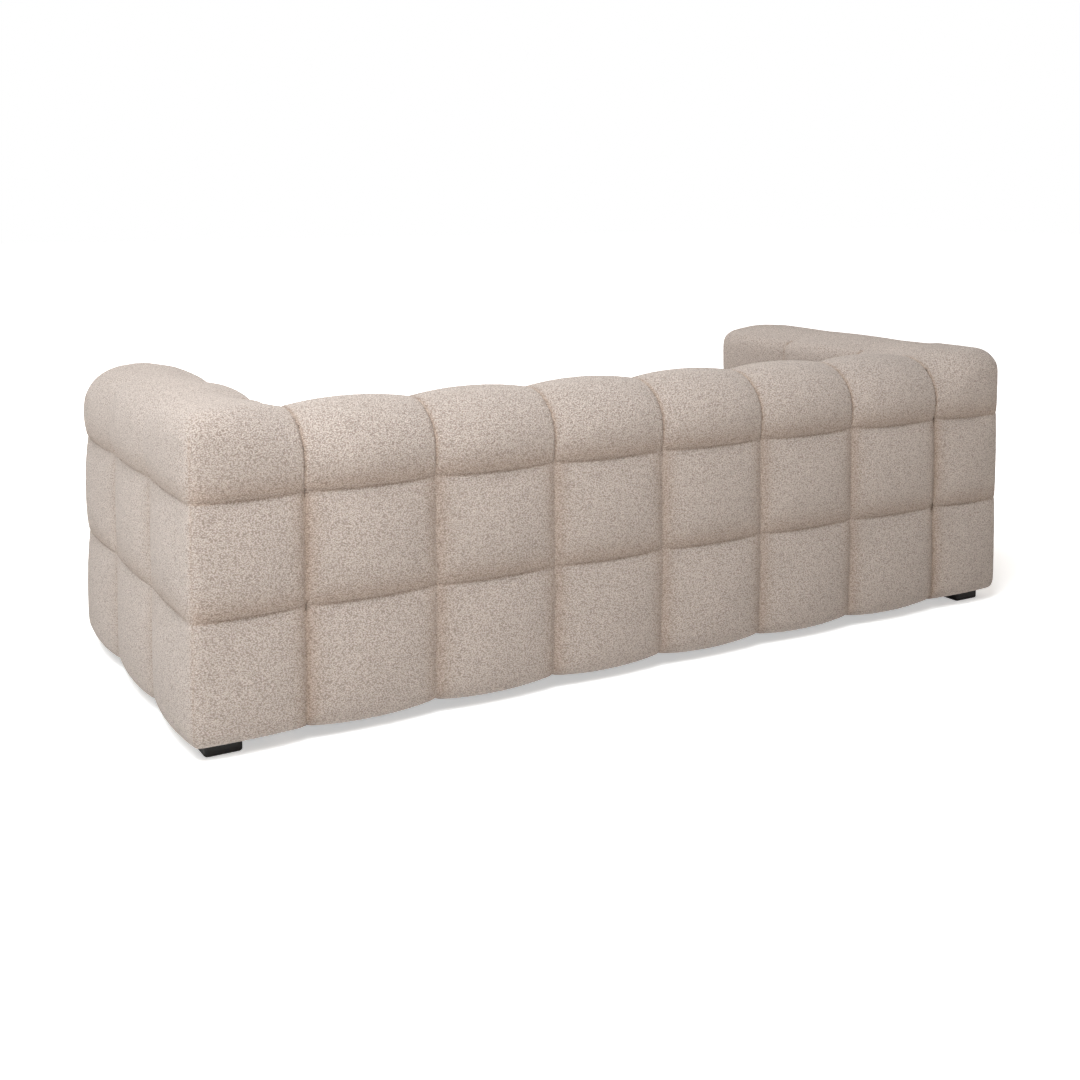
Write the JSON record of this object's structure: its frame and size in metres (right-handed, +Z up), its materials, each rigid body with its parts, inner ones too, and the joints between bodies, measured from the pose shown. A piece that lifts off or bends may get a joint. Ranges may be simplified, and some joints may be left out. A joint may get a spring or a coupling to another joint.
{
  "type": "tuxedo sofa",
  "caption": "Low tuxedo sofa with arms as high as its back, upholstered all over in grid-quilted boucle, on thin black slab feet.",
  "frame": {"origin": "on the floor, under the middle of the sofa's length and depth", "axes": "+X towards the sitter's left arm, -Y towards the front of the seat, +Z up"},
  "size_m": [2.4, 1, 0.7386],
  "materials": {
    "boucle": "looped boucle in warm greige, matt",
    "foam": "open-cell upholstery foam",
    "felt": "needled felt",
    "dust_cloth": "thin black non-woven cloth",
    "beech": "planed beech, unfinished",
    "hardboard": "brown hardboard",
    "spring_steel": "bright spring wire",
    "black_foot": "matt black moulding",
    "screw_steel": "zinc-plated"
  },
  "bodies": {
    "root": {"left_arm_cover": "boucle", "right_arm_cover": "boucle", "back_cover": "boucle", "seat_cover": "boucle", "left_arm_foam": "foam", "right_arm_foam": "foam", "back_foam": "foam", "seat_foam": "foam", "spring_felt": "felt", "dust_cover": "dust_cloth", "left_arm_bottom_rail": "beech", "left_arm_top_rail": "beech", "left_arm_front_post": "beech", "left_arm_middle_post": "beech", "left_arm_rear_post": "beech", "left_arm_inner_panel": "hardboard", "left_arm_outer_panel": "hardboard", "right_arm_bottom_rail": "beech", "right_arm_top_rail": "beech", "right_arm_front_post": "beech", "right_arm_middle_post": "beech", "right_arm_rear_post": "beech", "right_arm_inner_panel": "hardboard", "right_arm_outer_panel": "hardboard", "back_bottom_rail": "beech", "back_top_rail": "beech", "back_post_1": "beech", "back_post_2": "beech", "back_post_3": "beech", "back_post_4": "beech", "back_post_5": "beech", "back_inner_panel": "hardboard", "back_outer_panel": "hardboard", "seat_front_rail": "beech", "seat_rear_rail": "beech", "seat_left_rail": "beech", "seat_right_rail": "beech", "seat_stretcher_1": "beech", "seat_stretcher_2": "beech", "corner_block_front_left": "beech", "corner_block_front_right": "beech", "corner_block_rear_left": "beech", "corner_block_rear_right": "beech", "seat_spring_1": "spring_steel", "seat_spring_2": "spring_steel", "seat_spring_3": "spring_steel", "seat_spring_4": "spring_steel", "seat_spring_5": "spring_steel", "seat_spring_6": "spring_steel", "seat_spring_7": "spring_steel", "seat_spring_8": "spring_steel", "foot_front_left": "black_foot", "foot_front_right": "black_foot", "foot_rear_left": "black_foot", "foot_rear_right": "black_foot", "foot_screw_front_left": "screw_steel", "foot_screw_front_right": "screw_steel", "foot_screw_rear_left": "screw_steel", "foot_screw_rear_right": "screw_steel"}
  },
  "joints": []
}
